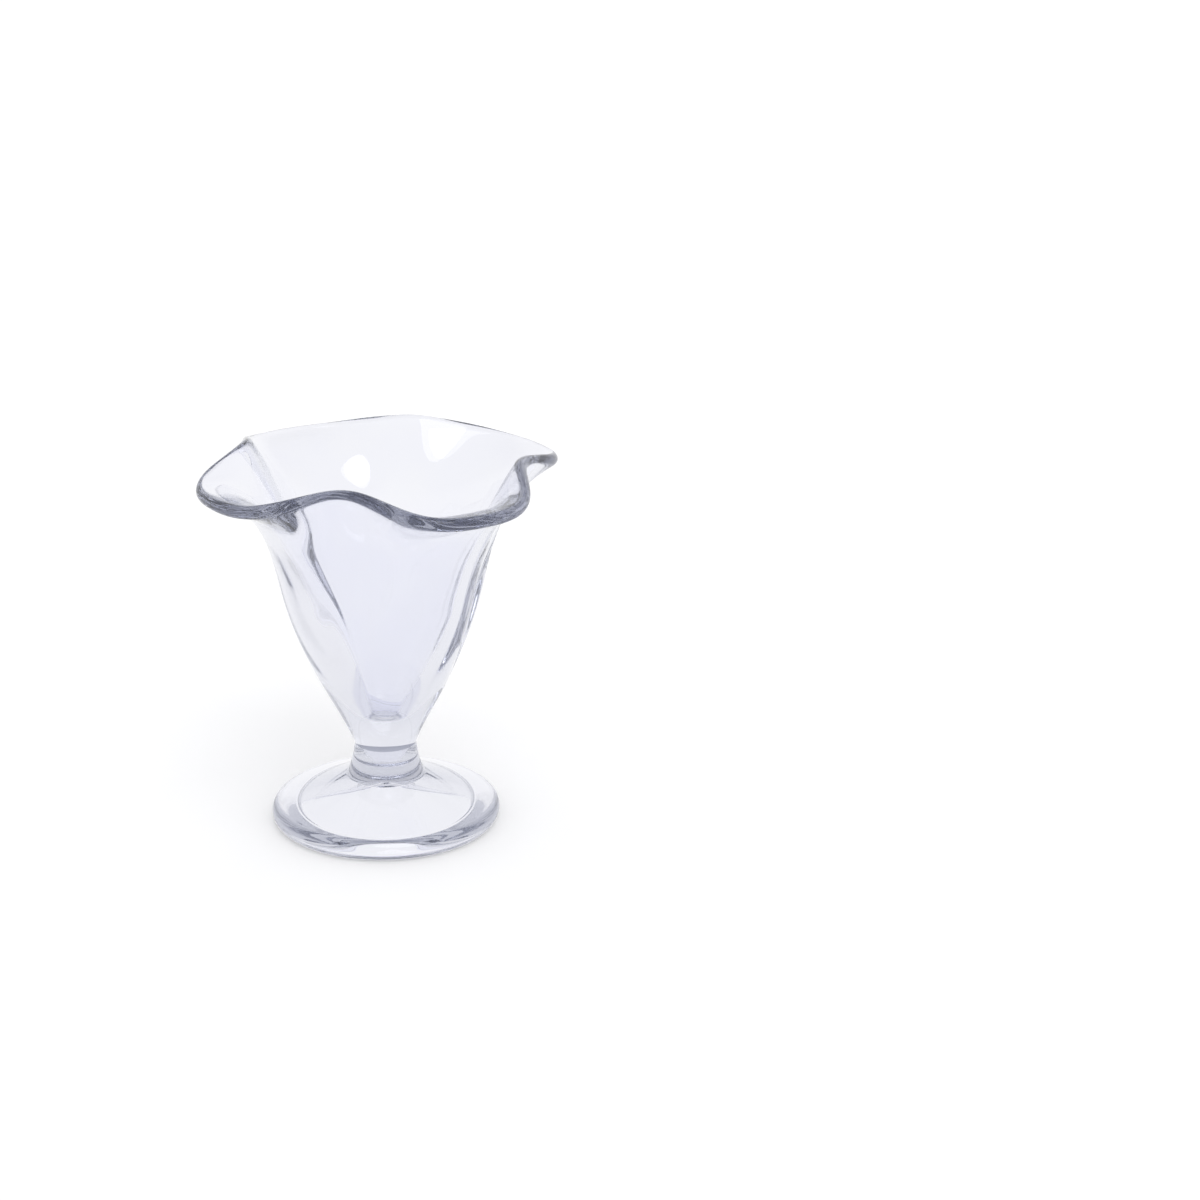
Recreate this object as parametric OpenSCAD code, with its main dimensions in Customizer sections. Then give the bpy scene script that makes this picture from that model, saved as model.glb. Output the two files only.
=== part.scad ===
// Footed ice cream bowl in clear pressed glass: a tulip cup with four flared petals and four
// pinched crests, on a short waisted stem and a round domed foot. Sizes in millimetres.
// The origin is the centre of the circle that the foot stands on, with +Z up and a petal
// towards each of +X, -X, +Y and -Y.

/* [Foot] */
// Diameter of the foot across its rounded edge
foot_d = 70; // [62:1:80]
// Height of the foot's rounded edge
foot_edge_h = 6.5; // [4:0.5:8]
// Height of the foot's flat top, where the stem is fused
foot_h = 14.5; // [13:0.5:18]
// Diameter of the foot's flat top and of the stem's lower end
foot_top_d = 24; // [22:0.5:28]
// Diameter of the mouth of the hollow in the underside
hollow_d = 50; // [44:1:54]
// Height of the hollow in the underside
hollow_h = 11; // [6:0.5:12]
// Rounding of the edge between the hollow and the ring that the foot stands on
hollow_edge_r = 0.8; // [0.4:0.1:1.2]
// Diameter of the small pip in the middle of the hollow
pip_d = 2.4; // [1.6:0.2:4]
// Depth of the pip below the top of the hollow
pip_h = 0.6; // [0.3:0.1:1]

/* [Stem] */
// Height of the stem between the foot and the bowl
stem_h = 10.5; // [6:0.5:16]
// Diameter of the waist, where the stem is fused to the bowl
waist_d = 18.8; // [16:0.2:21]

/* [Bowl] */
// Height of the bowl from the waist to the top of its crests
bowl_h = 92; // [84:1:102]
// Drop of the petals' rim below the crests' rim
petal_drop = 5.5; // [3:0.5:9]
// Diameter of the mouth across the tips of two petals
mouth_d = 112.8; // [104:0.2:122]
// Diameter of the rim across the outside of two crests
crest_d = 87; // [80:0.5:92]
// Height of the belly above the waist
belly_h = 49; // [44:1:54]
// Diameter of the belly across two petals
belly_d = 60.8; // [57:0.2:66]
// Diameter of the belly across two grooves
groove_d = 53.6; // [50:0.2:57]
// Lean of the wall at the belly, outwards from upright, in degrees
belly_lean = 12.4; // [8:0.2:16]
// Lean of the bowl's wall at the waist, outwards from upright, in degrees
waist_lean = 15; // [8:1:22]
// Rise of the lip at a petal's tip, in degrees above level
petal_lip = 6; // [0:1:20]
// Rise of the lip at a crest, in degrees above level
crest_lip = 62; // [52:1:72]

/* [Glass] */
// Thickness of the rounded rim
rim_t = 4; // [3:0.2:5]
// Thickness of the wall at the grooves of the belly
wall_t = 5; // [4:0.2:6]
// Thickness of the wall at the root of the cup
root_t = 7.6; // [6.6:0.2:9]
// Thickness of the solid bottom between the waist and the cup's lowest point
base_t = 11.5; // [10:0.5:13]

/* [Hidden] */

// Share of the pip's width that its flat tip takes
pip_tip = 0.5;
// Points that steer the curves of the hollow, the foot's top and the stem, each as a share of the
// curve's width and of its height
hollow_crown = [0.3, 0.3];
hollow_side = [0.65, 0.65];
foot_toe = [0.45, 0.4];
foot_rise = [0.85, 0.8];
stem_flare = [0.3, 0.2];
stem_neck = [0.8, 0.5];

// Number of petals round the mouth
petals = 4;
// Narrowness of the grooves at the waist and at the rim: 1 is a plain wave
narrow_waist = 7;
narrow_rim = 1.8;
// Places up the wall up to which it has no grooves and at which they are at full depth
plain_to = 0.4;
grooved_at = 1;
// Share of each span over which the wall leaves its end in a straight line
waist_reach = 0.18;
low_reach = 0.46;
high_reach = 0.36;
petal_reach = 0.46;
crest_reach = 0.27;
// Share of the lower wall at which the cup's rounded bottom begins
root_at = 0.4;
// Place up the wall at which the inner face has petals as deep as the outer skin's
lobed_at = 1.4;
// Share of the root's radius over which the cup's bottom is level
bottom_reach = 0.6;
// Share of the root's radius over which the cup's wall runs on below the root
root_reach = 0.75;

// Columns round the bowl and rows up each stretch of its section
columns = 96;
low_rows = 9;
high_rows = 11;
bead_rows = 6;
bottom_rows = 6;
curve_steps = 12;
lathe_steps = 96;

edge_r = foot_edge_h / 2;
waist_z = foot_h + stem_h;
belly_z = waist_z + belly_h;
crest_rim_z = waist_z + bowl_h - rim_t / 2;
petal_rim_z = crest_rim_z - petal_drop;
cup_z = waist_z + base_t;
// Steps up the skin, as a share of a stretch, and round it, in degrees, for measuring its slope
tiny = 0.002;
tiny_turn = 0.18;

glass = [0.86, 0.87, 0.93, 0.55];

function mix(a, b, t) = a + (b - a) * t;

function unit(v) = v / norm(v);

// Point at share t of a cubic curve with the four control points given
function curve(a, b, c, d, t) =
    mix(mix(mix(a, b, t), mix(b, c, t), t), mix(mix(b, c, t), mix(c, d, t), t), t);

function curve_points(a, b, c, d) =
    [for (i = [0 : curve_steps]) curve(a, b, c, d, i / curve_steps)];

// Curve from a to b that two points steer, each given as a share of the way across and up
function steered_points(a, first, second, b) =
    curve_points(a, part_way(a, b, first), part_way(a, b, second), b);

function part_way(a, b, share) = [mix(a.x, b.x, share.x), mix(a.y, b.y, share.y)];

// Direction in a half section, as radius and height, at an angle above level
function along(angle) = [cos(angle), sin(angle)];

function arc_points(centre, r, from, to) =
    [for (i = [0 : curve_steps]) centre + r * along(mix(from, to, i / curve_steps))];

// All points but the first, where a stretch goes on from the one before it
function onwards(points) = [for (i = [1 : len(points) - 1]) points[i]];

// Half section of the outer skin at a petal or a groove. It is at the waist at u = 0, at the
// belly at u = 1 and at the rim at u = 2.
function section(belly_r, rim_mid, lip, reach, u) =
    let (
        waist = [waist_d / 2, waist_z],
        belly = [belly_r, belly_z],
        rim = rim_mid + rim_t / 2 * along(lip - 90),
        lean = along(90 - belly_lean)
    )
    u <= 1
        ? curve(
            waist,
            waist + waist_reach * belly_h * along(90 - waist_lean),
            belly - low_reach * belly_h * lean,
            belly,
            u
        )
        : curve(
            belly,
            belly + high_reach * (rim.y - belly.y) * lean,
            rim - reach * norm(rim - belly) * along(lip),
            rim,
            u - 1
        );

function petal_section(u) =
    section(belly_d / 2, [mouth_d / 2 - rim_t / 2, petal_rim_z], petal_lip, petal_reach, u);

function groove_section(u) =
    let (mid_r = crest_d / 2 - rim_t / 2 * sin(crest_lip))
    section(groove_d / 2, [mid_r, crest_rim_z], crest_lip, crest_reach, u);

// Share of the way from one place up the wall to another, from 0 to 1
function part_up(from, to, u) = max(0, min(1, (u - from) / (to - from)));

// Share of their depth that the grooves have, coming in gently
function groove_share(u) =
    let (t = part_up(plain_to, grooved_at, u))
    t * t * (3 - 2 * t);

// 1 in the middle of a petal and 0 in the middle of a full groove
function petal_share(angle, u) =
    let (narrow = mix(narrow_waist, narrow_rim, pow(u / 2, 2)))
    1 - groove_share(u) * pow((1 - cos(petals * angle)) / 2, narrow);

function turned(half, angle) = [half.x * cos(angle), half.x * sin(angle), half.y];

// Point of the outer skin, or of a skin whose petals are drawn in to a share of their depth
function skin(u, angle, lobes = 1) =
    turned(mix(groove_section(u), petal_section(u), lobes * petal_share(angle, u)), angle);

function round_slope(u, angle, lobes) =
    skin(u, angle + tiny_turn, lobes) - skin(u, angle - tiny_turn, lobes);

function up_slope(u, angle, lobes) =
    skin(min(u + tiny, 2), angle, lobes) - skin(max(u - tiny, 0), angle, lobes);

// Direction straight out of the skin
function outwards(u, angle, lobes = 1) =
    unit(cross(round_slope(u, angle, lobes), up_slope(u, angle, lobes)));

function thickness(u) =
    u <= 1
        ? mix(wall_t, root_t, pow((1 - u) / (1 - root_at), 2))
        : mix(wall_t, rim_t, pow(u - 1, 2));

// Share of the petals' depth that the inner face has: none at the root of the cup
function inner_lobes(u) = part_up(root_at, lobed_at, u);

// Point of the cup's inner face, square to the skin that it follows
function inner(u, angle) =
    let (lobes = inner_lobes(u))
    skin(u, angle, lobes) - thickness(u) * outwards(u, angle, lobes);

// Rounded rim from the outer skin, at turn 0, over to the inner face, at turn 180
function bead(turn, angle) =
    let (
        out = outwards(2, angle),
        over = unit(cross(out, round_slope(2, angle, 1))),
        mid = skin(2, angle) - rim_t / 2 * out
    )
    mid + rim_t / 2 * (cos(turn) * out + sin(turn) * over);

// Rounded bottom of the cup, from its root at t = 0 to its lowest point at t = 1
function bottom(t, angle) =
    let (
        root = inner(root_at, angle),
        root_r = norm([root.x, root.y]),
        down = unit(root - inner(root_at + tiny, angle)),
        side = [cos(angle), sin(angle)]
    )
    curve(
        root,
        root + root_reach * root_r * down,
        [side.x * bottom_reach * root_r, side.y * bottom_reach * root_r, cup_z],
        [0, 0, cup_z],
        t
    );

// Section of the bowl at one angle, from the waist over the rim to just short of the cup's
// lowest point
function bowl_column(angle) = concat(
    [for (i = [0 : low_rows - 1]) skin(i / low_rows, angle)],
    [for (i = [0 : high_rows]) skin(1 + i / high_rows, angle)],
    [for (i = [1 : bead_rows - 1]) bead(180 * i / bead_rows, angle)],
    [for (i = [0 : high_rows - 1]) inner(2 - i / high_rows, angle)],
    [for (i = [0 : low_rows - 1]) inner(mix(1, root_at, i / low_rows), angle)],
    [for (i = [0 : bottom_rows - 1]) bottom(i / bottom_rows, angle)]
);

module foot() {
    top = [foot_top_d / 2, foot_h];
    edge_mid = [foot_d / 2 - edge_r, edge_r];
    edge_top = edge_mid + [0, edge_r];
    mouth_mid = [hollow_d / 2 + hollow_edge_r, hollow_edge_r];
    mouth_in = mouth_mid - [hollow_edge_r, 0];
    pip_r = pip_d / 2;
    pip_z = hollow_h - pip_h;
    color(glass)
    rotate_extrude($fn = lathe_steps)
    polygon(concat(
        [[0, foot_h], [0, pip_z], [pip_tip * pip_r, pip_z]],
        steered_points([pip_r, hollow_h], hollow_crown, hollow_side, mouth_in),
        onwards(arc_points(mouth_mid, hollow_edge_r, 180, 270)),
        arc_points(edge_mid, edge_r, -90, 90),
        onwards(steered_points(edge_top, foot_toe, foot_rise, top))
    ));
}

module stem() {
    low = [foot_top_d / 2, foot_h];
    waist = [waist_d / 2, waist_z];
    color(glass)
    rotate_extrude($fn = lathe_steps)
    polygon(concat(
        [[0, waist_z], [0, foot_h]],
        steered_points(low, stem_flare, stem_neck, waist)
    ));
}

module bowl() {
    sides = [for (j = [0 : columns - 1]) bowl_column(360 * j / columns)];
    rows = len(sides[0]);
    last = rows * columns + 1;
    points = concat(
        [[0, 0, waist_z]],
        [for (i = [0 : rows - 1]) for (side = sides) side[i]],
        [[0, 0, cup_z]]
    );
    function at(i, j) = 1 + i * columns + j % columns;
    base = [for (j = [0 : columns - 1]) [0, at(0, j), at(0, j + 1)]];
    wall = [for (i = [0 : rows - 2]) for (j = [0 : columns - 1]) each [
        [at(i, j), at(i + 1, j), at(i, j + 1)],
        [at(i, j + 1), at(i + 1, j), at(i + 1, j + 1)]
    ]];
    floor = [for (j = [0 : columns - 1]) [at(rows - 1, j), last, at(rows - 1, j + 1)]];
    color(glass)
    polyhedron(points, concat(base, wall, floor));
}

foot();
stem();
bowl();
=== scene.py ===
"""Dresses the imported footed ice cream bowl: a domed foot, a short stem and a tulip cup of clear
pressed glass, on a white studio floor. Sizes are in metres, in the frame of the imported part."""

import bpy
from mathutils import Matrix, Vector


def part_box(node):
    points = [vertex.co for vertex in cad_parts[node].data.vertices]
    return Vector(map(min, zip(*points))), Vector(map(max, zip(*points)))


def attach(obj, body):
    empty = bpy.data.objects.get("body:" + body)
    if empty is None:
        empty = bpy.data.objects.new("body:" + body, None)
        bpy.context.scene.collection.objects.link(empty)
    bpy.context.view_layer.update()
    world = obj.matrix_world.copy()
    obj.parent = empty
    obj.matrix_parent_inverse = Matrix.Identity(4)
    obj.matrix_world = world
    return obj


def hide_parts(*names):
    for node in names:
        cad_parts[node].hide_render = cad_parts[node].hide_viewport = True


bl_info = {
    "name": "Footed Ice Cream Bowl",
    "version": (1, 0, 0),
    "blender": (4, 5, 0),
    "location": "3D View > Sidebar > Ice Cream Bowl",
    "description": "Models a footed glass ice cream bowl and the studio that it stands in",
    "category": "Add Mesh",
}

import math

import bmesh
import bpy
from bpy.props import FloatProperty, FloatVectorProperty, PointerProperty
from mathutils import Matrix, Vector

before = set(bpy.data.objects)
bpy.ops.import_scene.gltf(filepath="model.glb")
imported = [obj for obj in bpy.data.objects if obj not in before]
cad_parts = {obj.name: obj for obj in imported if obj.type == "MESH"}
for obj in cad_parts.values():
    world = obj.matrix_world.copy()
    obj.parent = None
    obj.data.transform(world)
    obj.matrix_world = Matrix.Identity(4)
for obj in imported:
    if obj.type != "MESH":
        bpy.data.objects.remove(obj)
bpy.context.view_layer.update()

FOOT_LOW, FOOT_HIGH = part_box("foot")
STEM_LOW, STEM_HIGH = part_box("stem")
BOWL_LOW, BOWL_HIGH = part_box("bowl")

BODY = "root"
# Columns from the middle of a petal to the middle of a groove
HALF_PETAL_COLUMNS = 12
PETALS = 4
COLUMNS = 2 * PETALS * HALF_PETAL_COLUMNS
# Steps along each stretch of the foot's and the stem's outlines
FOOT_TOP_STEPS = 10
FOOT_EDGE_STEPS = 10
HOLLOW_MOUTH_STEPS = 4
HOLLOW_STEPS = 10
STEM_STEPS = 8
SMOOTH_LEVELS = 2
# Edges sharper than this stay crisp
CRISP_ANGLE = math.radians(40)
# Points this near to a joint's height lie on the joint
JOINT_REACH = 0.00001
# Levels of finer noise in the waves, the ripple and the wipe marks
WAVE_DETAIL = 1
GRAIN_DETAIL = 2
SMUDGE_DETAIL = 4
# Bounces of light inside the glass
GLASS_BOUNCES = 32
FLOOR_SIDES = 96


def length_property(name, description, default):
    return FloatProperty(name=name, description=description, default=default, min=0, unit="LENGTH")


def angle_property(name, description, degrees):
    return FloatProperty(
        name=name, description=description, default=math.radians(degrees), subtype="ANGLE"
    )


def share_property(name, description, default):
    return FloatProperty(name=name, description=description, default=default, min=0, max=1)


def shares_property(name, description, default):
    return FloatVectorProperty(name=name, description=description, size=2, default=default)


def colour_property(name, description, default):
    return FloatVectorProperty(
        name=name, description=description, size=3, default=default, min=0, max=1, subtype="COLOR"
    )


class FootSizes(bpy.types.PropertyGroup):
    """Sizes of the domed foot"""

    width: length_property(
        "Width", "Diameter across the rounded edge", FOOT_HIGH.x - FOOT_LOW.x
    )
    height: length_property("Height", "Height of the flat top", FOOT_HIGH.z)
    edge_height: length_property("Edge height", "Height of the rounded edge", 0.0065)
    top_width: length_property(
        "Top width", "Diameter of the flat top, where the stem is fused", STEM_HIGH.x - STEM_LOW.x
    )
    hollow_width: length_property("Hollow width", "Diameter of the hollow's mouth", 0.05)
    hollow_height: length_property("Hollow height", "Height of the hollow underneath", 0.011)
    hollow_edge: length_property("Hollow edge", "Rounding of the hollow's mouth", 0.0008)
    pip_width: length_property("Pip width", "Diameter of the pip in the hollow", 0.0024)
    pip_height: length_property("Pip height", "Depth of the pip below the hollow's top", 0.0006)
    pip_tip: share_property("Pip tip", "Share of the pip's width that is flat", 0.5)
    crown: shares_property("Crown", "Point that steers the top of the hollow", (0.3, 0.3))
    side: shares_property("Side", "Point that steers the side of the hollow", (0.65, 0.65))
    toe: shares_property("Toe", "Point that steers the low part of the top", (0.45, 0.4))
    rise: shares_property("Rise", "Point that steers the high part of the top", (0.85, 0.8))


class StemSizes(bpy.types.PropertyGroup):
    """Sizes of the short stem"""

    bottom: length_property("Bottom", "Height at which the stem starts", STEM_LOW.z)
    top: length_property("Top", "Height of the waist, where the bowl is fused", STEM_HIGH.z)
    low_width: length_property(
        "Lower width", "Diameter of the stem on the foot", STEM_HIGH.x - STEM_LOW.x
    )
    waist_width: length_property("Waist width", "Diameter of the stem at the waist", 0.0188)
    flare: shares_property("Flare", "Point that steers the flare onto the foot", (0.3, 0.2))
    neck: shares_property("Neck", "Point that steers the neck below the waist", (0.8, 0.5))


class BowlSizes(bpy.types.PropertyGroup):
    """Sizes of the tulip cup"""

    waist: length_property("Waist", "Height at which the bowl starts", BOWL_LOW.z)
    waist_width: length_property("Waist width", "Diameter of the bowl at the waist", 0.0188)
    top: length_property("Top", "Height of the crests' rim", BOWL_HIGH.z)
    petal_drop: length_property("Petal drop", "Drop of the petals' rim below the crests'", 0.0055)
    mouth_width: length_property("Mouth width", "Diameter across two petals' tips", 0.1128)
    crest_width: length_property("Crest width", "Diameter across two crests", 0.087)
    belly_height: length_property("Belly height", "Height of the belly above the waist", 0.049)
    belly_width: length_property("Belly width", "Diameter of the belly across two petals", 0.0608)
    groove_width: length_property("Groove width", "Diameter of the belly across grooves", 0.0536)
    belly_lean: angle_property("Belly lean", "Lean of the wall at the belly", 12.4)
    waist_lean: angle_property("Waist lean", "Lean of the wall at the waist", 15)
    petal_lip: angle_property("Petal lip", "Rise of the lip at a petal's tip", 6)
    crest_lip: angle_property("Crest lip", "Rise of the lip at a crest", 62)
    rim: length_property("Rim", "Thickness of the rounded rim", 0.004)
    wall: length_property("Wall", "Thickness of the wall at the belly's grooves", 0.005)
    root: length_property("Root", "Thickness of the wall at the root of the cup", 0.0076)
    base: length_property("Base", "Thickness of the solid bottom", 0.0115)
    narrow_waist: FloatProperty(
        name="Narrowness at the waist", description="Narrowness of the grooves there", default=7
    )
    narrow_rim: FloatProperty(
        name="Narrowness at the rim", description="Narrowness of the grooves there", default=1.8
    )
    waist_reach: share_property("Waist reach", "Straight share of the wall at the waist", 0.18)
    low_reach: share_property("Low reach", "Straight share of the wall below the belly", 0.46)
    high_reach: share_property("High reach", "Straight share of the wall above the belly", 0.36)
    petal_reach: share_property("Petal reach", "Straight share of the wall at a petal's lip", 0.46)
    crest_reach: share_property("Crest reach", "Straight share of the wall at a crest's lip", 0.27)
    root_at: share_property("Root at", "Share of the lower wall where the bottom begins", 0.4)
    plain_to: share_property("Plain to", "Share of the lower wall that has no grooves", 0.4)
    grooved_at: share_property("Grooved at", "Share of it at which the grooves are full", 1)
    lobed_at: FloatProperty(
        name="Lobed at", description="Place up the wall of full inner petals", default=1.4
    )
    root_reach: share_property("Root reach", "Share of its radius that the root runs on", 0.75)
    bottom_reach: share_property("Bottom reach", "Share of the cup's bottom that is level", 0.6)


class GlassFinish(bpy.types.PropertyGroup):
    """Finish of the pressed glass"""

    tint: colour_property("Tint", "Colour of light through a wall", (0.93, 0.935, 1.0))
    clear_tint: colour_property("Clear tint", "Palest colour of that light", (0.965, 0.97, 1.0))
    refraction: FloatProperty(
        name="Refraction", description="Index of refraction of soda glass", default=1.51, min=1
    )
    depth_colour: colour_property("Depth colour", "Colour of thick glass", (0.5, 0.52, 0.6))
    depth: FloatProperty(
        name="Depth", description="Strength of that colour in each metre", default=16, min=0
    )
    wave_size: length_property("Wave size", "Size of the slow waves left by the mould", 0.014)
    wave_height: length_property("Wave height", "Height of those waves", 0.00004)
    grain_size: length_property("Grain size", "Size of the fine ripple in the skin", 0.0025)
    grain_height: length_property("Grain height", "Height of that ripple", 0.000004)
    smudge_size: length_property("Smudge size", "Size of the faint wipe marks", 0.02)
    smudge: share_property("Smudge", "Roughness where the wipe marks are strongest", 0.03)
    smudge_low: share_property("Smudge low", "Level of noise where the wipe marks begin", 0.45)
    smudge_high: share_property("Smudge high", "Level of noise where they are strongest", 0.75)


class StageSetup(bpy.types.PropertyGroup):
    """Floor, light and camera of the studio"""

    floor_radius: length_property("Floor radius", "Radius of the round floor", 9.0)
    floor_gap: length_property("Floor gap", "Depth of the floor below the foot", 0.00005)
    floor_colour: colour_property("Floor colour", "Colour of the floor", (0.86, 0.86, 0.86))
    floor_glow: FloatProperty(
        name="Floor glow", description="Light that the floor adds for the camera", default=0.2
    )
    backdrop_colour: colour_property(
        "Backdrop colour", "Colour of the backdrop round the studio", (1, 1, 1)
    )
    ceiling_colour: colour_property(
        "Ceiling colour", "Colour of the grey ceiling", (0.8, 0.8, 0.82)
    )
    backdrop_top: angle_property("Backdrop top", "Height of the white backdrop", 24)
    ceiling_edge: angle_property("Ceiling edge", "Height at which the grey ceiling begins", 36)
    softbox_heading: angle_property("Softbox heading", "Turn of the softbox from the front", -15)
    softbox_height: angle_property("Softbox height", "Height of the softbox above level", 56)
    softbox_spread: angle_property("Softbox spread", "Width of the round softbox", 38)
    softbox_light: FloatProperty(
        name="Softbox light", description="Strength of the softbox", default=0.6, min=0
    )
    camera_place: FloatVectorProperty(
        name="Camera place",
        description="Place of the camera",
        size=3,
        default=(-0.3424, -0.5779, 0.3055),
        subtype="TRANSLATION",
        unit="LENGTH",
    )
    camera_heading: angle_property("Camera heading", "Turn of the view from +Y towards +X", 36.19)
    camera_pitch: angle_property("Camera pitch", "Tilt of the view below level", 19.28)
    camera_roll: angle_property("Camera roll", "Turn of the camera about its view", 0.99)
    camera_lens: FloatProperty(
        name="Camera lens", description="Focal length in millimetres", default=70.92
    )
    camera_sensor: FloatProperty(
        name="Camera sensor", description="Width of the sensor in millimetres", default=36
    )


def along(angle):
    """Direction in a half section, as radius and height, at an angle above level."""
    return Vector((math.cos(angle), math.sin(angle)))


def mix(a, b, share):
    return a + (b - a) * share


def clamp(share):
    return min(max(share, 0), 1)


def ease(share):
    """Share from 0 to 1 that starts and ends level."""
    share = clamp(share)
    return share * share * (3 - 2 * share)


def curve(a, b, c, d, share):
    """Point at a share of a cubic curve with the four control points given."""
    ab = a.lerp(b, share)
    bc = b.lerp(c, share)
    cd = c.lerp(d, share)
    return ab.lerp(bc, share).lerp(bc.lerp(cd, share), share)


def steered_points(a, first, second, b, steps):
    """Points of a curve from a to b that two points steer, given as shares across and up."""
    near = Vector((mix(a.x, b.x, first[0]), mix(a.y, b.y, first[1])))
    far = Vector((mix(a.x, b.x, second[0]), mix(a.y, b.y, second[1])))
    return [curve(a, near, far, b, i / steps) for i in range(steps + 1)]


def arc_points(centre, radius, start, end, steps):
    """Points of an arc between two angles given in degrees."""
    angles = [math.radians(mix(start, end, i / steps)) for i in range(steps + 1)]
    return [centre + radius * along(angle) for angle in angles]


class CupForm:
    """Form of the tulip cup: its half section at every angle round the axis."""

    # Steps up the wall and round the axis over which slopes are measured
    slope_step = 0.002
    turn_step = math.radians(0.18)
    # Rows of points along each stretch of the section
    low_rows = 10
    high_rows = 14
    bead_rows = 8
    bottom_rows = 7

    def __init__(self, sizes):
        self.sizes = sizes
        self.waist = Vector((sizes.waist_width / 2, sizes.waist))
        self.belly_z = sizes.waist + sizes.belly_height
        self.crest_rim_z = sizes.top - sizes.rim / 2
        self.petal_rim_z = self.crest_rim_z - sizes.petal_drop
        self.cup_z = sizes.waist + sizes.base

    def section(self, belly_r, rim_mid, lip, reach, u):
        """Outer skin at a petal or groove: waist at u = 0, belly at u = 1 and rim at u = 2."""
        sizes = self.sizes
        belly = Vector((belly_r, self.belly_z))
        rim = rim_mid + sizes.rim / 2 * along(lip - math.pi / 2)
        lean = along(math.pi / 2 - sizes.belly_lean)
        if u <= 1:
            leave = sizes.waist_reach * sizes.belly_height * along(math.pi / 2 - sizes.waist_lean)
            arrive = sizes.low_reach * sizes.belly_height * lean
            return curve(self.waist, self.waist + leave, belly - arrive, belly, u)
        leave = sizes.high_reach * (rim.y - belly.y) * lean
        arrive = reach * (rim - belly).length * along(lip)
        return curve(belly, belly + leave, rim - arrive, rim, u - 1)

    def petal_section(self, u):
        sizes = self.sizes
        rim_mid = Vector((sizes.mouth_width / 2 - sizes.rim / 2, self.petal_rim_z))
        return self.section(sizes.belly_width / 2, rim_mid, sizes.petal_lip, sizes.petal_reach, u)

    def groove_section(self, u):
        sizes = self.sizes
        mid_r = sizes.crest_width / 2 - sizes.rim / 2 * math.sin(sizes.crest_lip)
        rim_mid = Vector((mid_r, self.crest_rim_z))
        return self.section(sizes.groove_width / 2, rim_mid, sizes.crest_lip, sizes.crest_reach, u)

    def petal_share(self, u, angle):
        """1 in the middle of a petal and 0 in the middle of a groove."""
        sizes = self.sizes
        narrow = mix(sizes.narrow_waist, sizes.narrow_rim, (u / 2) ** 2)
        cut = ease((u - sizes.plain_to) / (sizes.grooved_at - sizes.plain_to))
        return 1 - cut * ((1 - math.cos(PETALS * angle)) / 2) ** narrow

    def outer(self, u, angle, lobes=1):
        """Outer skin, or the skin with its petals drawn in to a share of their depth."""
        share = lobes * self.petal_share(u, angle)
        return self.groove_section(u).lerp(self.petal_section(u), share)

    def slopes(self, u, angle, lobes=1):
        """Direction up the skin, direction out of it, and the stretch of a wall cut aslant,
        out of the skin and up it."""
        low = self.outer(max(u - self.slope_step, 0), angle, lobes)
        high = self.outer(min(u + self.slope_step, 2), angle, lobes)
        up = (high - low).normalized()
        out = Vector((up.y, -up.x))
        left = self.outer(u, angle - self.turn_step, lobes)
        right = self.outer(u, angle + self.turn_step, lobes)
        turn = (right - left) / (self.turn_step * (left.x + right.x))
        return up, out, math.hypot(1, turn.dot(out)), math.hypot(1, turn.dot(up))

    def inner_lobes(self, u):
        """Share of the petals' depth that the inner face has: none at the root of the cup."""
        sizes = self.sizes
        return clamp((u - sizes.root_at) / (sizes.lobed_at - sizes.root_at))

    def thickness(self, u):
        sizes = self.sizes
        if u <= 1:
            return mix(sizes.wall, sizes.root, ((1 - u) / (1 - sizes.root_at)) ** 2)
        return mix(sizes.wall, sizes.rim, (u - 1) ** 2)

    def inner(self, u, angle):
        lobes = self.inner_lobes(u)
        _, out, stretch, _ = self.slopes(u, angle, lobes)
        return self.outer(u, angle, lobes) - self.thickness(u) * stretch * out

    def bead(self, turn, angle):
        """Rounded rim from the outer skin, at turn 0, over to the inner face, at half a turn."""
        up, out, stretch_out, stretch_up = self.slopes(2, angle)
        half = self.sizes.rim / 2
        middle = self.outer(2, angle) - half * stretch_out * out
        side = math.cos(turn) * stretch_out * out
        return middle + half * (side + math.sin(turn) * stretch_up * up)

    def bottom(self, share, angle):
        """Rounded bottom of the cup, from its root to its lowest point."""
        sizes = self.sizes
        root = self.inner(sizes.root_at, angle)
        down = (root - self.inner(sizes.root_at + self.slope_step, angle)).normalized()
        return curve(
            root,
            root + sizes.root_reach * root.x * down,
            Vector((sizes.bottom_reach * root.x, self.cup_z)),
            Vector((0, self.cup_z)),
            share,
        )

    def rows(self, angles):
        """Rows of points from the waist over the rim to just short of the cup's lowest point."""
        root_at = self.sizes.root_at
        low, high, bead, bottom = self.low_rows, self.high_rows, self.bead_rows, self.bottom_rows
        rows = [(self.outer, i / low) for i in range(low)]
        rows += [(self.outer, 1 + i / high) for i in range(high + 1)]
        rows += [(self.bead, math.pi * i / bead) for i in range(1, bead)]
        rows += [(self.inner, 2 - i / high) for i in range(high)]
        rows += [(self.inner, mix(1, root_at, i / low)) for i in range(low)]
        rows += [(self.bottom, i / bottom) for i in range(bottom)]
        return [[place(at, angle) for angle in angles] for place, at in rows]


def start_piece(name, first):
    """Adds the circle at a piece's first ring, with its place in the mesh, opened for modelling."""
    bpy.ops.object.select_all(action="DESELECT")
    bpy.ops.mesh.primitive_circle_add(vertices=COLUMNS, radius=first.x, location=(0, 0, first.y))
    piece = bpy.context.object
    piece.name = name
    piece.data.name = name
    bpy.ops.object.transform_apply(location=True, rotation=True, scale=True)
    bpy.ops.object.mode_set(mode="EDIT")
    bpy.ops.mesh.select_mode(type="VERT")
    bpy.ops.mesh.select_all(action="SELECT")
    return piece


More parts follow.
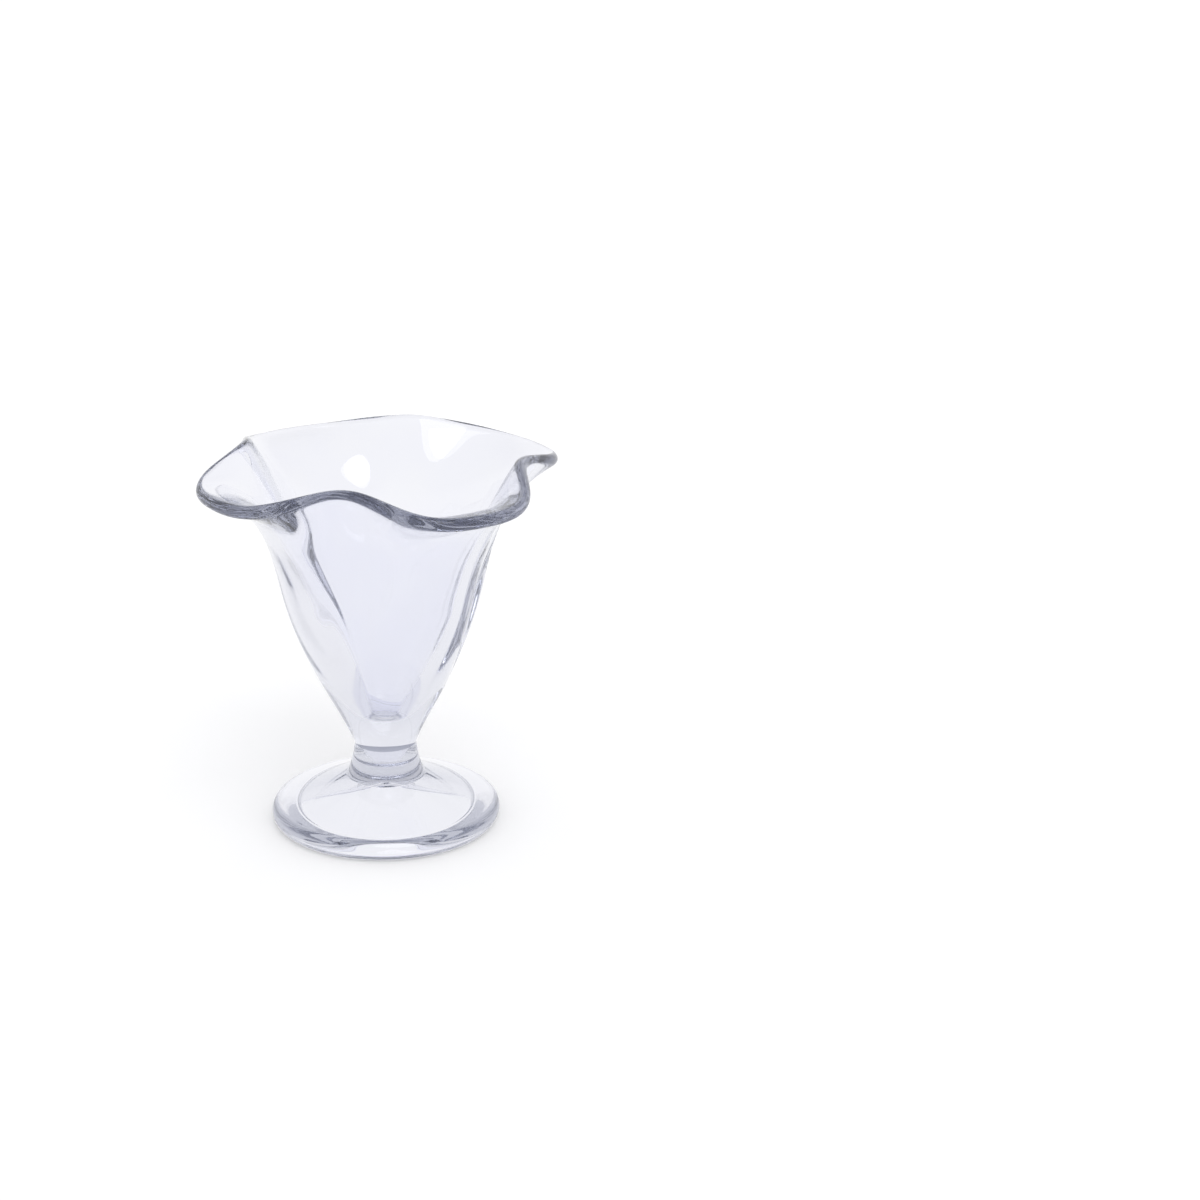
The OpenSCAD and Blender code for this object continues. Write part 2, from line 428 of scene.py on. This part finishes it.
def pick(mesh, vertices):
    """Selects these vertices and the edges between them, and nothing else."""
    for vertex in mesh.verts:
        vertex.select = False
    mesh.select_flush(False)
    for vertex in vertices:
        vertex.select = True
    mesh.select_flush(True)


def column_class(vertex, classes):
    """Number of the column from the middle of a petal, the same on both sides of it."""
    if classes == 1:
        return 0
    petal_turn = 2 * math.pi / PETALS
    turn = math.atan2(vertex.co.y, vertex.co.x)
    off_petal = abs((turn + petal_turn / 2) % petal_turn - petal_turn / 2)
    return round(off_petal / petal_turn * COLUMNS / PETALS)


def raise_ring(piece, before, after):
    """Extrudes the selected ring and moves each class of its columns to its new place."""
    bpy.ops.mesh.extrude_edges_move()
    mesh = bmesh.from_edit_mesh(piece.data)
    ring = [vertex for vertex in mesh.verts if vertex.select]
    classes = len(after)
    for number in range(classes):
        pick(mesh, [vertex for vertex in ring if column_class(vertex, classes) == number])
        grow = after[number].x / before[number].x
        lift = after[number].y - before[number].y
        bpy.ops.transform.resize(value=(grow, grow, 1), center_override=(0, 0, before[number].y))
        bpy.ops.transform.translate(value=(0, 0, lift))
    pick(mesh, ring)


def raise_rings(piece, rows):
    for before, after in zip(rows, rows[1:]):
        raise_ring(piece, before, after)


def close_pole():
    """Draws the last ring together on the axis."""
    bpy.ops.mesh.extrude_edges_move()
    bpy.ops.mesh.merge(type="CENTER")


def cap_joint(piece, height):
    """Closes the flat end at a height with a crisp face in the joint's own material."""
    mesh = bmesh.from_edit_mesh(piece.data)
    pick(mesh, [v for v in mesh.verts if v.is_boundary and abs(v.co.z - height) < JOINT_REACH])
    bpy.ops.transform.edge_crease(value=1)
    bpy.ops.mesh.edge_face_add()
    piece.active_material_index = 1
    bpy.ops.object.material_slot_assign()


def finish_piece(piece, node):
    """Turns the faces outwards, smooths the piece and ties it to its place in the frame."""
    bpy.ops.mesh.select_all(action="SELECT")
    bpy.ops.mesh.normals_make_consistent(inside=False)
    bpy.ops.object.mode_set(mode="OBJECT")
    smooth = piece.modifiers.new("Smooth", "SUBSURF")
    smooth.levels = SMOOTH_LEVELS
    smooth.render_levels = SMOOTH_LEVELS
    bpy.ops.object.modifier_apply(modifier=smooth.name)
    bpy.ops.object.shade_smooth_by_angle(angle=CRISP_ANGLE)
    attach(piece, BODY)
    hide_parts(node)


def add_node(tree, kind, **values):
    """Adds a shader node and sets its own values."""
    node = tree.nodes.new(kind)
    for name, value in values.items():
        setattr(node, name, value)
    return node


def new_material(name):
    """Adds a node material with nothing but its output."""
    material = bpy.data.materials.new(name)
    material.use_nodes = True
    tree = material.node_tree
    tree.nodes.clear()
    return material, tree, tree.nodes.new("ShaderNodeOutputMaterial")


def noise(tree, place, size, detail):
    """Noise whose patches have the size given."""
    node = add_node(tree, "ShaderNodeTexNoise")
    node.inputs["Scale"].default_value = 1 / size
    node.inputs["Detail"].default_value = detail
    tree.links.new(place, node.inputs["Vector"])
    return node.outputs["Fac"]


def soft_step(tree, value, low, high, top=1):
    """Level that goes smoothly from 0 to the top between two values."""
    node = add_node(tree, "ShaderNodeMapRange", interpolation_type="SMOOTHSTEP")
    node.inputs["From Min"].default_value = low
    node.inputs["From Max"].default_value = high
    node.inputs["To Max"].default_value = top
    tree.links.new(value, node.inputs["Value"])
    return node.outputs["Result"]


def blend_colours(tree, share, first, second):
    """Colour between two, each given as a colour or as a node's output."""
    node = add_node(tree, "ShaderNodeMix", data_type="RGBA")
    tree.links.new(share, node.inputs["Factor"])
    for name, colour in (("A", first), ("B", second)):
        if isinstance(colour, bpy.types.NodeSocket):
            tree.links.new(colour, node.inputs[name])
        else:
            node.inputs[name].default_value = (*colour, 1)
    return node.outputs["Result"]


def bump(tree, level, height):
    """Bump node that raises the surface by a height where the level is 1."""
    node = add_node(tree, "ShaderNodeBump")
    node.inputs["Distance"].default_value = height
    tree.links.new(level, node.inputs["Height"])
    return node


def pressed_glass(finish):
    """Clear glass with slow waves, a fine ripple, faint wipe marks and an uneven lilac tint."""
    material = bpy.data.materials.get("pressed_glass")
    if material:
        return material
    material, tree, output = new_material("pressed_glass")
    glass = add_node(tree, "ShaderNodeBsdfPrincipled")
    glass.inputs["Transmission Weight"].default_value = 1
    glass.inputs["IOR"].default_value = finish.refraction
    place = add_node(tree, "ShaderNodeTexCoord").outputs["Object"]
    waves = noise(tree, place, finish.wave_size, WAVE_DETAIL)
    grain = noise(tree, place, finish.grain_size, GRAIN_DETAIL)
    smudges = noise(tree, place, finish.smudge_size, SMUDGE_DETAIL)

    tint = blend_colours(tree, waves, finish.tint, finish.clear_tint)
    rough = soft_step(tree, smudges, finish.smudge_low, finish.smudge_high, finish.smudge)
    wave_bump = bump(tree, waves, finish.wave_height)
    grain_bump = bump(tree, grain, finish.grain_height)
    tree.links.new(tint, glass.inputs["Base Color"])
    tree.links.new(rough, glass.inputs["Roughness"])
    tree.links.new(wave_bump.outputs["Normal"], grain_bump.inputs["Normal"])
    tree.links.new(grain_bump.outputs["Normal"], glass.inputs["Normal"])

    depth = add_node(tree, "ShaderNodeVolumeAbsorption")
    depth.inputs["Color"].default_value = (*finish.depth_colour, 1)
    depth.inputs["Density"].default_value = finish.depth
    tree.links.new(glass.outputs["BSDF"], output.inputs["Surface"])
    tree.links.new(depth.outputs["Volume"], output.inputs["Volume"])
    return material


def fused_joint():
    """Face inside the glass where two members are fused: light passes it unbent."""
    material = bpy.data.materials.get("fused_joint")
    if material:
        return material
    material, tree, output = new_material("fused_joint")
    clear = add_node(tree, "ShaderNodeBsdfTransparent")
    tree.links.new(clear.outputs["BSDF"], output.inputs["Surface"])
    return material


def glaze(piece, finish):
    piece.data.materials.append(pressed_glass(finish))
    piece.data.materials.append(fused_joint())


class FootOperator(bpy.types.Operator):
    """Model the domed foot with its rounded edge and hollow underside"""

    bl_idname = "ice_cream_bowl.foot"
    bl_label = "Add Foot"

    def execute(self, context):
        sizes = context.scene.bowl_foot
        edge_r = sizes.edge_height / 2
        top = Vector((sizes.top_width / 2, sizes.height))
        edge_mid = Vector((sizes.width / 2 - edge_r, edge_r))
        edge_top = edge_mid + Vector((0, edge_r))
        mouth_mid = Vector((sizes.hollow_width / 2 + sizes.hollow_edge, sizes.hollow_edge))
        mouth_in = mouth_mid - Vector((sizes.hollow_edge, 0))
        pip_r = sizes.pip_width / 2
        pip_z = sizes.hollow_height - sizes.pip_height
        crown = Vector((pip_r, sizes.hollow_height))

        outline = steered_points(edge_top, sizes.toe, sizes.rise, top, FOOT_TOP_STEPS)[::-1]
        outline += arc_points(edge_mid, edge_r, 90, -90, FOOT_EDGE_STEPS)[1:]
        outline += arc_points(mouth_mid, sizes.hollow_edge, 270, 180, HOLLOW_MOUTH_STEPS)
        hollow = steered_points(crown, sizes.crown, sizes.side, mouth_in, HOLLOW_STEPS)
        outline += hollow[::-1][1:]
        outline += [Vector((sizes.pip_tip * pip_r, pip_z))]

        piece = start_piece("foot_glass", top)
        glaze(piece, context.scene.bowl_glass)
        raise_rings(piece, [[point] for point in outline])
        close_pole()
        cap_joint(piece, sizes.height)
        finish_piece(piece, "foot")
        return {"FINISHED"}


class StemOperator(bpy.types.Operator):
    """Model the short waisted stem between the foot and the bowl"""

    bl_idname = "ice_cream_bowl.stem"
    bl_label = "Add Stem"

    def execute(self, context):
        sizes = context.scene.bowl_stem
        low = Vector((sizes.low_width / 2, sizes.bottom))
        waist = Vector((sizes.waist_width / 2, sizes.top))
        outline = steered_points(low, sizes.flare, sizes.neck, waist, STEM_STEPS)
        piece = start_piece("stem_glass", low)
        glaze(piece, context.scene.bowl_glass)
        raise_rings(piece, [[point] for point in outline])
        cap_joint(piece, sizes.bottom)
        cap_joint(piece, sizes.top)
        finish_piece(piece, "stem")
        return {"FINISHED"}


class BowlOperator(bpy.types.Operator):
    """Model the tulip cup with its petals, crests, grooves and rounded rim"""

    bl_idname = "ice_cream_bowl.bowl"
    bl_label = "Add Bowl"

    def execute(self, context):
        sizes = context.scene.bowl_cup
        half_petal = math.pi / PETALS
        angles = [half_petal * i / HALF_PETAL_COLUMNS for i in range(HALF_PETAL_COLUMNS + 1)]
        form = CupForm(sizes)
        piece = start_piece("bowl_glass", form.waist)
        glaze(piece, context.scene.bowl_glass)
        raise_rings(piece, form.rows(angles))
        close_pole()
        cap_joint(piece, sizes.waist)
        finish_piece(piece, "bowl")
        return {"FINISHED"}


class StageOperator(bpy.types.Operator):
    """Add the white floor, the soft studio light and the camera"""

    bl_idname = "ice_cream_bowl.stage"
    bl_label = "Add Stage"

    def execute(self, context):
        setup = context.scene.bowl_stage
        self.add_floor(setup)
        self.light_world(context.scene, setup)
        self.add_softbox(setup)
        self.add_camera(context.scene, setup)
        self.lengthen_paths(context.scene.cycles)
        context.scene.view_settings.view_transform = "Standard"
        return {"FINISHED"}

    def lengthen_paths(self, paths):
        """Lets light bounce on inside the thick glass until it finds its way out."""
        paths.max_bounces = GLASS_BOUNCES
        paths.glossy_bounces = GLASS_BOUNCES
        paths.transmission_bounces = GLASS_BOUNCES

    def add_floor(self, setup):
        bpy.ops.object.select_all(action="DESELECT")
        bpy.ops.mesh.primitive_circle_add(
            vertices=FLOOR_SIDES,
            radius=setup.floor_radius,
            fill_type="NGON",
            location=(0, 0, -setup.floor_gap),
        )
        floor = bpy.context.object
        floor.name = "studio_floor"
        floor.data.materials.append(self.floor_material(setup))

    def floor_material(self, setup):
        """Matt floor that keeps the shadow for the camera and is plain white through glass."""
        material, tree, output = new_material("studio_floor")
        paths = add_node(tree, "ShaderNodeLightPath")
        matt = add_node(tree, "ShaderNodeBsdfDiffuse")
        matt.inputs["Color"].default_value = (*setup.floor_colour, 1)
        glow = add_node(tree, "ShaderNodeEmission")
        lift = add_node(tree, "ShaderNodeMath", operation="MULTIPLY")
        lift.inputs[1].default_value = setup.floor_glow
        tree.links.new(paths.outputs["Is Camera Ray"], lift.inputs[0])
        tree.links.new(lift.outputs["Value"], glow.inputs["Strength"])
        lit = add_node(tree, "ShaderNodeAddShader")
        tree.links.new(matt.outputs["BSDF"], lit.inputs[0])
        tree.links.new(glow.outputs["Emission"], lit.inputs[1])
        white = add_node(tree, "ShaderNodeEmission")
        through = add_node(tree, "ShaderNodeMath", operation="MAXIMUM")
        tree.links.new(paths.outputs["Is Glossy Ray"], through.inputs[0])
        tree.links.new(paths.outputs["Is Transmission Ray"], through.inputs[1])
        either = add_node(tree, "ShaderNodeMixShader")
        tree.links.new(through.outputs["Value"], either.inputs["Fac"])
        tree.links.new(lit.outputs["Shader"], either.inputs[1])
        tree.links.new(white.outputs["Emission"], either.inputs[2])
        tree.links.new(either.outputs["Shader"], output.inputs["Surface"])
        return material

    def light_world(self, scene, setup):
        """White backdrop all round, up to a grey ceiling. The camera itself sees plain white."""
        world = bpy.data.worlds.new("studio")
        scene.world = world
        world.use_nodes = True
        tree = world.node_tree
        tree.nodes.clear()
        output = tree.nodes.new("ShaderNodeOutputWorld")
        backdrop = add_node(tree, "ShaderNodeBackground")
        direction = add_node(tree, "ShaderNodeTexCoord").outputs["Generated"]
        split = add_node(tree, "ShaderNodeSeparateXYZ")
        tree.links.new(direction, split.inputs["Vector"])
        ceiling = soft_step(
            tree, split.outputs["Z"], math.sin(setup.backdrop_top), math.sin(setup.ceiling_edge)
        )
        around = blend_colours(tree, ceiling, setup.backdrop_colour, setup.ceiling_colour)
        paths = add_node(tree, "ShaderNodeLightPath")
        seen = blend_colours(tree, paths.outputs["Is Camera Ray"], around, setup.backdrop_colour)
        tree.links.new(seen, backdrop.inputs["Color"])
        tree.links.new(backdrop.outputs["Background"], output.inputs["Surface"])

    def add_softbox(self, setup):
        """Adds a round soft light far away, so that it lights the whole floor evenly."""
        back = Matrix.Rotation(setup.softbox_heading, 3, "Z") @ Vector((0, -1, 0))
        back *= math.cos(setup.softbox_height)
        back.z = math.sin(setup.softbox_height)
        bpy.ops.object.light_add(type="SUN", rotation=back.to_track_quat("Z", "Y").to_euler())
        lamp = bpy.context.object
        lamp.name = "overhead_softbox"
        lamp.data.angle = setup.softbox_spread
        lamp.data.energy = setup.softbox_light

    def add_camera(self, scene, setup):
        turn = Matrix.Rotation(-setup.camera_heading, 4, "Z")
        turn @= Matrix.Rotation(math.pi / 2 - setup.camera_pitch, 4, "X")
        turn @= Matrix.Rotation(setup.camera_roll, 4, "Z")
        bpy.ops.object.camera_add(location=setup.camera_place, rotation=turn.to_euler())
        scene.camera = bpy.context.object
        scene.camera.data.lens = setup.camera_lens
        scene.camera.data.sensor_width = setup.camera_sensor


class BowlPanel(bpy.types.Panel):
    """Lists the pieces of the ice cream bowl, their sizes, their finish and the stage"""

    bl_idname = "VIEW3D_PT_ice_cream_bowl"
    bl_label = "Ice Cream Bowl"
    bl_space_type = "VIEW_3D"
    bl_region_type = "UI"
    bl_category = "Ice Cream Bowl"

    def draw(self, context):
        for operator, group in PANEL_ROWS:
            box = self.layout.box()
            if operator:
                box.operator(operator.bl_idname)
            sizes = getattr(context.scene, group)
            for name in sizes.bl_rna.properties.keys():
                if name not in ("rna_type", "name"):
                    box.prop(sizes, name)


GROUPS = {
    "bowl_foot": FootSizes,
    "bowl_stem": StemSizes,
    "bowl_cup": BowlSizes,
    "bowl_glass": GlassFinish,
    "bowl_stage": StageSetup,
}
OPERATORS = (FootOperator, StemOperator, BowlOperator, StageOperator)
PANEL_ROWS = (
    (FootOperator, "bowl_foot"),
    (StemOperator, "bowl_stem"),
    (BowlOperator, "bowl_cup"),
    (None, "bowl_glass"),
    (StageOperator, "bowl_stage"),
)
CLASSES = (*GROUPS.values(), *OPERATORS, BowlPanel)


def register():
    for kind in CLASSES:
        bpy.utils.register_class(kind)
    for name, group in GROUPS.items():
        setattr(bpy.types.Scene, name, PointerProperty(type=group))


def unregister():
    for name in GROUPS:
        delattr(bpy.types.Scene, name)
    for kind in reversed(CLASSES):
        bpy.utils.unregister_class(kind)


def main():
    register()
    bpy.ops.ice_cream_bowl.foot()
    bpy.ops.ice_cream_bowl.stem()
    bpy.ops.ice_cream_bowl.bowl()
    bpy.ops.ice_cream_bowl.stage()


if __name__ == "__main__":
    main()
